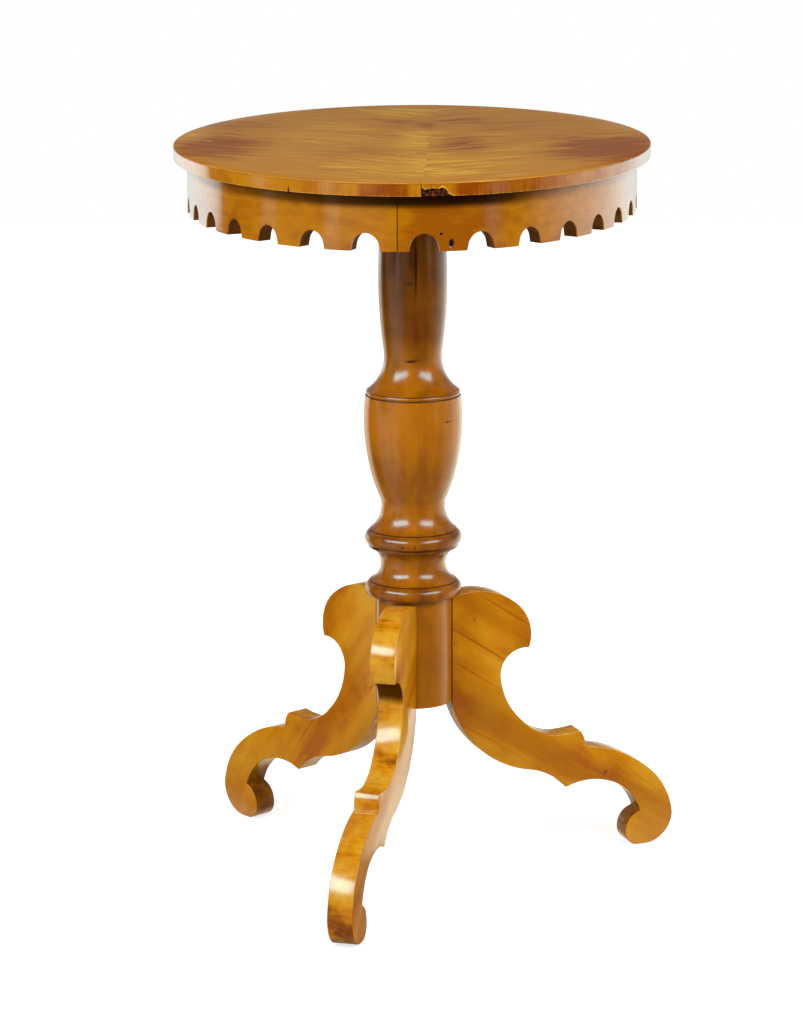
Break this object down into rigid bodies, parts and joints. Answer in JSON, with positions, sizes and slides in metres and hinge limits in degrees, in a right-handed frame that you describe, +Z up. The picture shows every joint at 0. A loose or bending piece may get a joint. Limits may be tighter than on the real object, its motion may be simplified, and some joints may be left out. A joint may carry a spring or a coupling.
{
  "type": "side table",
  "caption": "Oval side table: veneered oval top with an arched frieze on a turned baluster column, carried by sawn scroll legs set in sliding dovetails.",
  "frame": {"origin": "on the floor at the axis of the column", "axes": "+Z up; +Y points midway between the two back legs; the single front leg points to -Y and a few degrees towards -X"},
  "size_m": [0.4914, 0.6708, 0.75],
  "materials": {
    "top_veneer": "figured birch, aged golden brown, polished",
    "edge_band": "cross-banded birch, polished",
    "frieze_veneer": "birch, polished to a gloss",
    "core_softwood": "raw pine, darkened",
    "column_wood": "turned birch, polished",
    "leg_wood": "sawn birch, polished",
    "bearer_wood": "raw birch, darkened",
    "screw_steel": "old iron screw"
  },
  "bodies": {
    "root": {"bearer_screws": "screw_steel", "column": "column_wood", "frieze_lower_block_1": "core_softwood", "frieze_lower_block_2": "core_softwood", "frieze_lower_block_3": "core_softwood", "frieze_lower_block_4": "core_softwood", "frieze_lower_block_5": "core_softwood", "frieze_lower_block_6": "core_softwood", "frieze_lower_block_7": "core_softwood", "frieze_lower_block_8": "core_softwood", "frieze_upper_block_1": "core_softwood", "frieze_upper_block_2": "core_softwood", "frieze_upper_block_3": "core_softwood", "frieze_upper_block_4": "core_softwood", "frieze_upper_block_5": "core_softwood", "frieze_upper_block_6": "core_softwood", "frieze_upper_block_7": "core_softwood", "frieze_upper_block_8": "core_softwood", "frieze_veneer_1": "frieze_veneer", "frieze_veneer_2": "frieze_veneer", "frieze_veneer_3": "frieze_veneer", "frieze_veneer_4": "frieze_veneer", "glue_blocks": "core_softwood", "leg_front": "leg_wood", "leg_left": "leg_wood", "leg_right": "leg_wood", "tenon_wedge": "column_wood", "top_bearer": "bearer_wood", "top_board_1": "core_softwood", "top_board_2": "core_softwood", "top_board_3": "core_softwood", "top_board_4": "core_softwood", "top_edge_band_left": "edge_band", "top_edge_band_right": "edge_band", "top_veneer_left": "top_veneer", "top_veneer_right": "top_veneer"}
  },
  "joints": []
}
